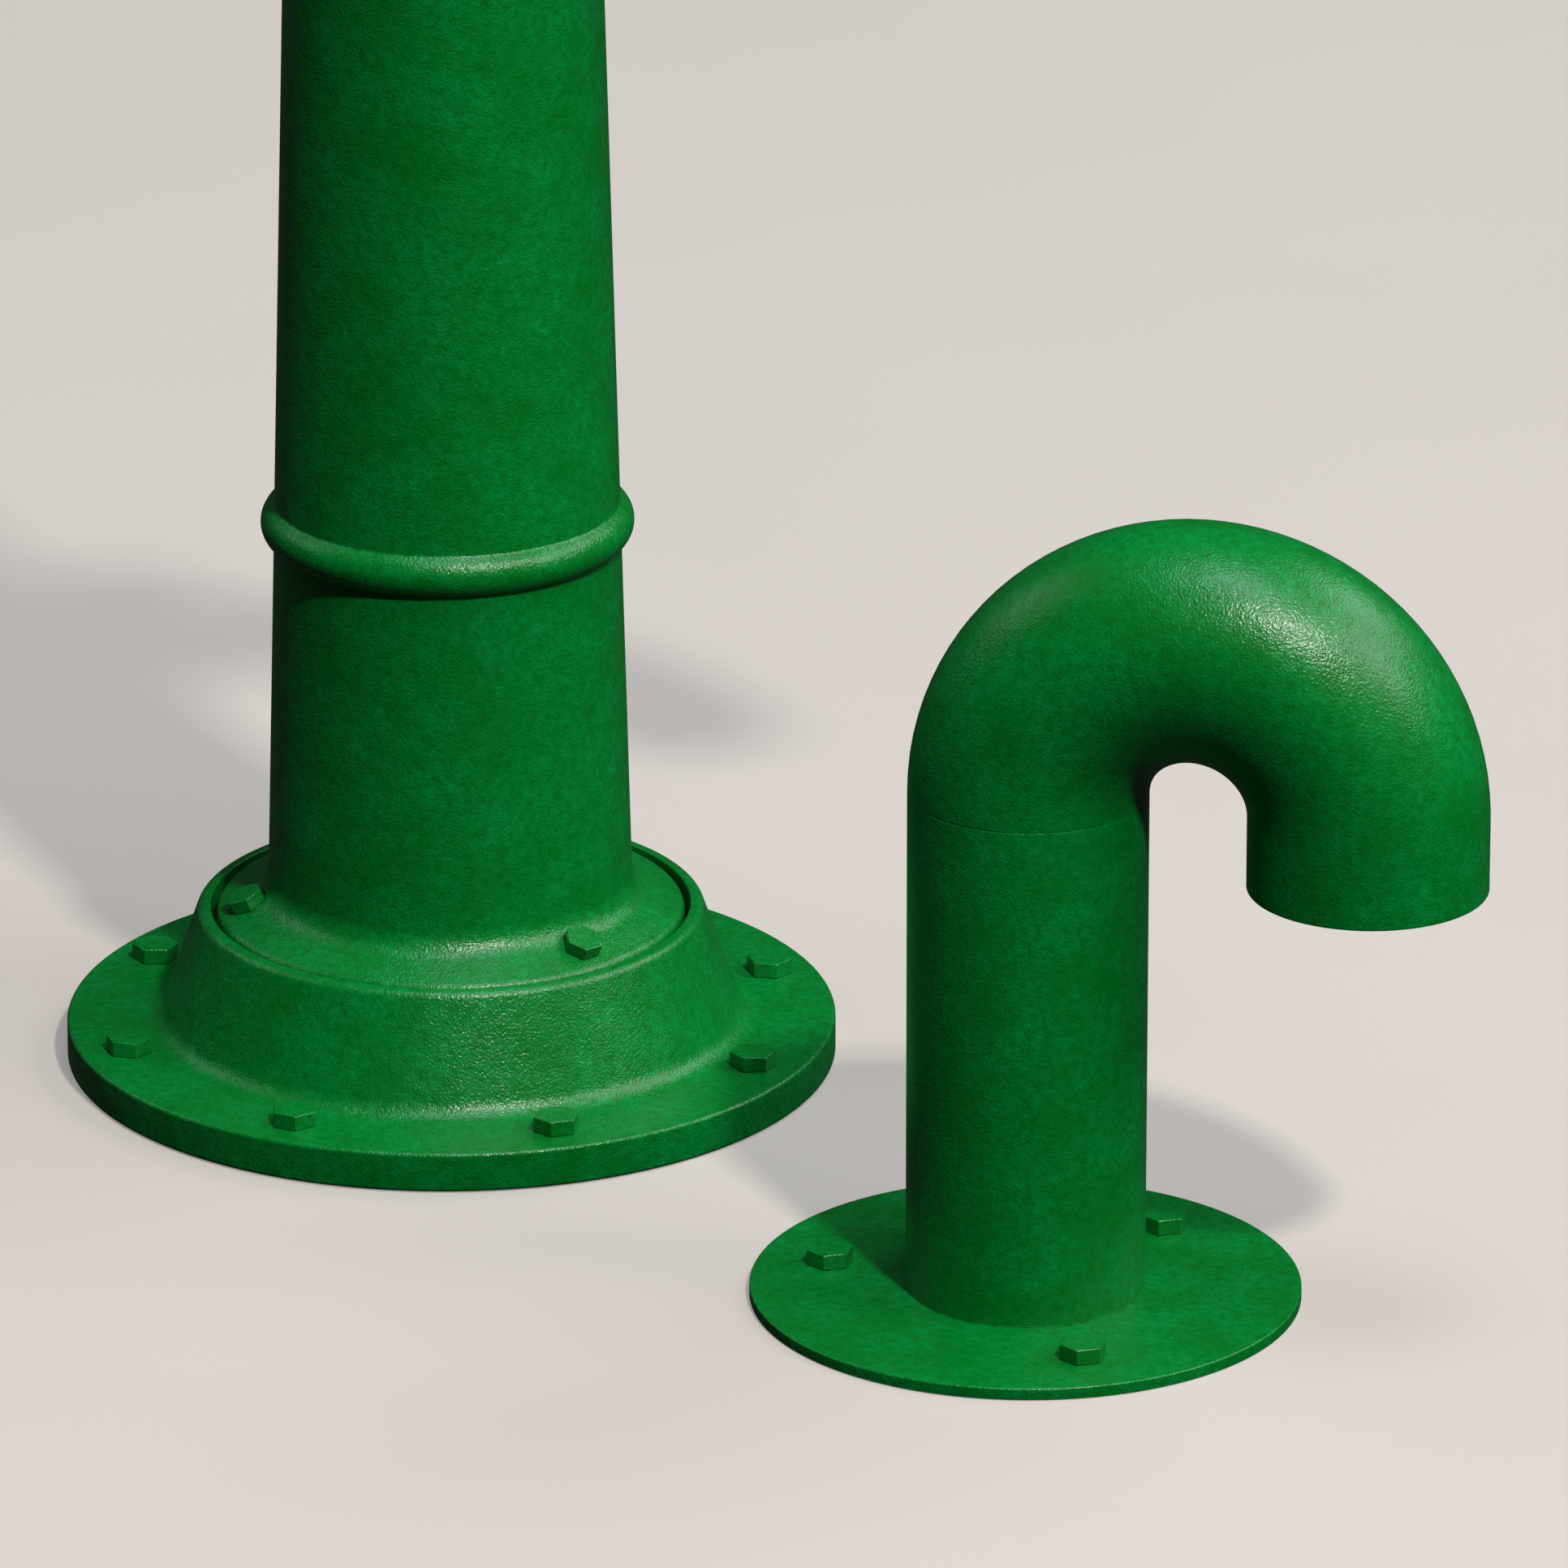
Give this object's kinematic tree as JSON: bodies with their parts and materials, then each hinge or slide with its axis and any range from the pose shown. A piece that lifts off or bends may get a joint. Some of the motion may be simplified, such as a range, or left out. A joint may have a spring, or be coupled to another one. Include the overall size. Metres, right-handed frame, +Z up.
{
  "type": "hand well pump",
  "caption": "Cast iron hand pump with lever, spout, piston and valves on a bolted base ring, with the well cover's gooseneck vent beside it.",
  "frame": {"origin": "the pump's axis at the underside of its base flange, the centre of the anchor bolts' circle", "axes": "+Z up the column, +X towards the spout, the lever hangs on the -X side"},
  "size_m": [0.8759, 0.5872, 1.3217],
  "materials": {
    "green_cast_iron": "semi-gloss green enamel on cast iron",
    "green_steel": "semi-gloss green enamel on steel",
    "brass": "machined",
    "steel": "turned",
    "leather": "oiled",
    "rubber": "matte sheet"
  },
  "bodies": {
    "root": {"base_ring": "green_cast_iron", "base_bolts": "green_steel", "foot_gasket": "rubber", "column": "green_cast_iron", "foot_bolts": "green_steel", "valve_seat": "brass", "valve_cage": "brass", "cylinder": "brass", "bonnet_gasket": "rubber", "bonnet": "green_cast_iron", "bonnet_bolts": "green_steel", "guide_bush": "brass", "gland_packing": "leather", "gland_nut": "brass", "spout_gasket": "rubber", "spout": "green_cast_iron", "spout_bolts": "green_steel", "spout_nuts": "green_steel", "fulcrum_pin": "steel", "fulcrum_washer": "steel", "fulcrum_split_pin": "steel", "vent_flange": "green_steel", "vent_pipe": "green_steel", "vent_bend": "green_steel", "vent_screen": "steel", "vent_screen_ring": "steel", "vent_bolts": "green_steel"},
    "lever": {"fulcrum_bush": "brass", "lever_head": "green_cast_iron", "lever_bar": "green_steel", "lever_rivets": "green_steel", "handle_knob": "green_steel"},
    "rod": {"piston_body": "brass", "cup_lower": "leather", "cup_spacer": "brass", "cup_upper": "leather", "piston_cage": "brass", "piston_rod": "steel", "rod_lock_nut": "brass", "rod_fork": "green_steel", "cross_pin": "steel", "cross_pin_clips": "steel"},
    "foot_valve": {"foot_valve": "brass", "foot_valve_seal": "leather"},
    "piston_valve": {"piston_valve": "brass", "piston_valve_seal": "leather"}
  },
  "joints": [
    {"name": "lever_swing", "type": "hinge", "parent": "root", "child": "lever", "pos_m": [-0.095, 0, 1.215], "axis": [0, 1, 0], "range_deg": [0, 55]},
    {"name": "rod_slide", "type": "slide", "parent": "root", "child": "rod", "axis": [0, 0, 1], "range_m": [-0.09892, 0]},
    {"name": "foot_valve_lift", "type": "slide", "parent": "root", "child": "foot_valve", "axis": [0, 0, 1], "range_m": [0, 0.008]},
    {"name": "piston_valve_lift", "type": "slide", "parent": "rod", "child": "piston_valve", "axis": [0, 0, 1], "range_m": [0, 0.006]}
  ],
  "couplings": [
    {"joint": "rod_slide", "follows": "lever_swing", "m_per_rad": -0.10303}
  ]
}
